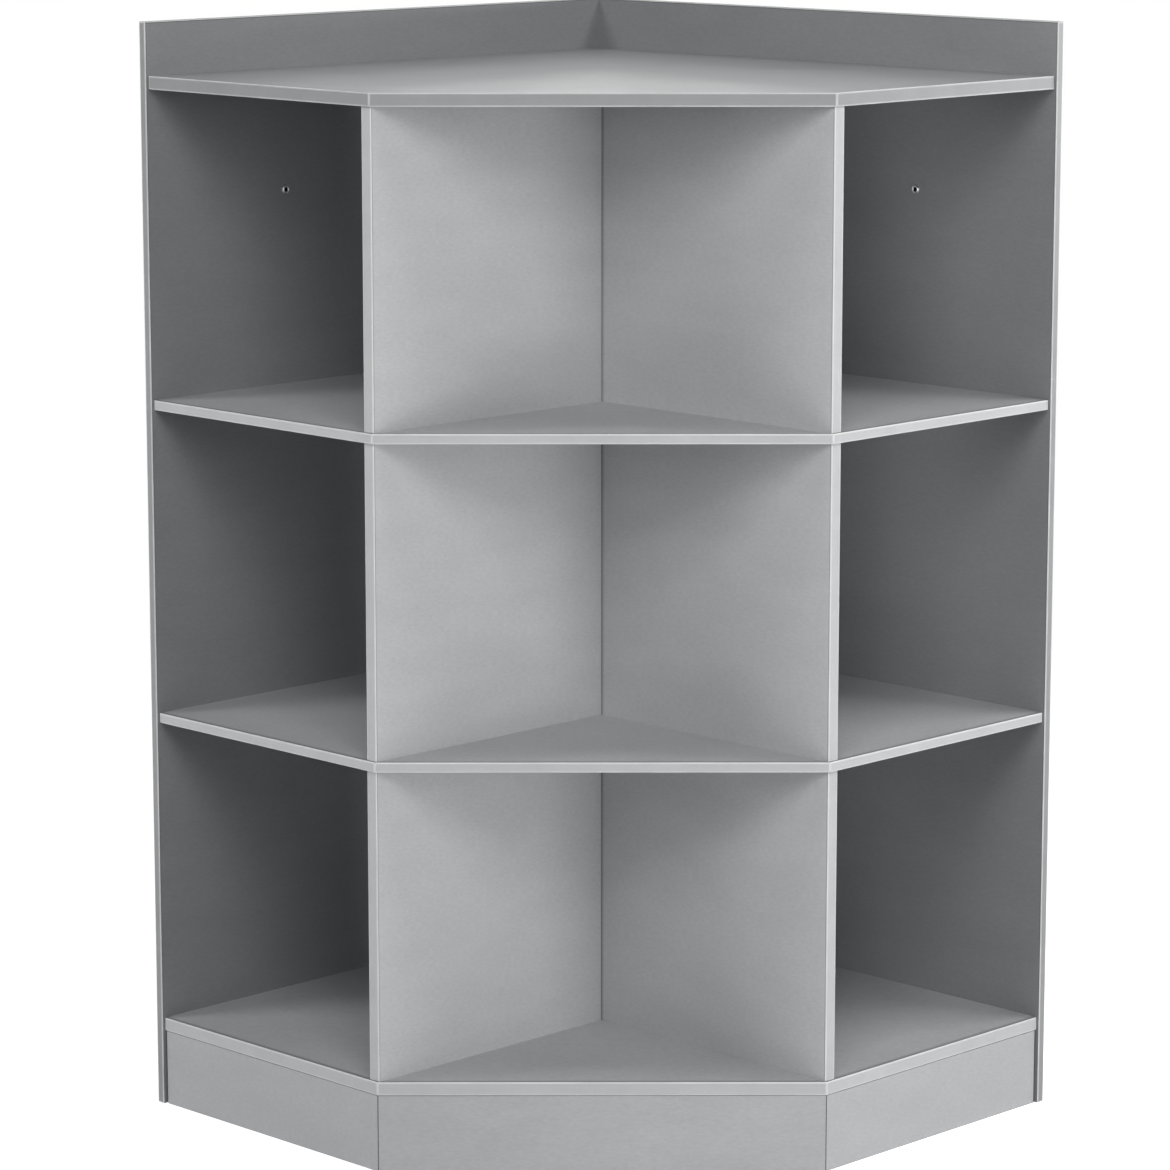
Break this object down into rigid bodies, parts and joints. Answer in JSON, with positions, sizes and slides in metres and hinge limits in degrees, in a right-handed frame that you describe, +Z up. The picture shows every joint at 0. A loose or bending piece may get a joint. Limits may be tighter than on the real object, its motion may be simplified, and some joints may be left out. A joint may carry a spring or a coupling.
{
  "type": "toy storage shelf",
  "caption": "Free-standing corner shelf of flat boards: open bays divided by angled partitions, a raised rear rim and a plinth, for toys, bins and books.",
  "frame": {"origin": "centre of the shelf's box on the floor it stands on", "axes": "+X to the right seen from the front, +Y back towards the corner of the room, +Z up"},
  "size_m": [0.824, 0.6226, 1],
  "materials": {
    "panel": "satin mid grey laminate on fibreboard",
    "shelf": "satin grey laminate on fibreboard",
    "board": "satin light grey laminate on fibreboard",
    "plinth": "satin light grey laminate on fibreboard",
    "shelf_edge": "satin light grey edging",
    "panel_edge": "satin grey edging",
    "screw": "zinc plated",
    "cam": "die-cast zinc",
    "bolt": "zinc plated",
    "dowel": "bare beech",
    "plate": "zinc plated",
    "block": "moulded grey",
    "eyelet": "nickel plated"
  },
  "bodies": {
    "root": {"wall_panel_left": "panel", "wall_panel_right": "panel", "top_panel": "panel", "upper_shelf": "shelf", "lower_shelf": "shelf", "bottom_panel": "shelf", "lower_divider_left": "board", "lower_divider_right": "board", "middle_divider_left": "board", "middle_divider_right": "board", "upper_divider_left": "board", "upper_divider_right": "board", "plinth_left": "plinth", "plinth_front": "plinth", "plinth_right": "plinth", "upper_shelf_bands": "shelf_edge", "lower_shelf_bands": "shelf_edge", "bottom_panel_bands": "shelf_edge", "lower_divider_left_band": "shelf_edge", "lower_divider_right_band": "shelf_edge", "middle_divider_left_band": "shelf_edge", "middle_divider_right_band": "shelf_edge", "upper_divider_left_band": "shelf_edge", "upper_divider_right_band": "shelf_edge", "top_panel_bands": "panel_edge", "wall_panel_left_front_band": "panel_edge", "wall_panel_left_top_band": "panel_edge", "wall_panel_right_front_band": "panel_edge", "wall_panel_right_top_band": "panel_edge", "panel_screws": "screw", "shelf_screws": "screw", "corner_screws": "screw", "plate_screws": "screw", "block_screws": "screw", "cam_locks": "cam", "cam_bolts": "bolt", "through_cam_bolts": "bolt", "end_dowels": "dowel", "through_dowels": "dowel", "corner_dowels": "dowel", "plinth_corner_plates": "plate", "wall_angles": "plate", "plinth_blocks": "block", "wall_eyelets": "eyelet"}
  },
  "joints": []
}
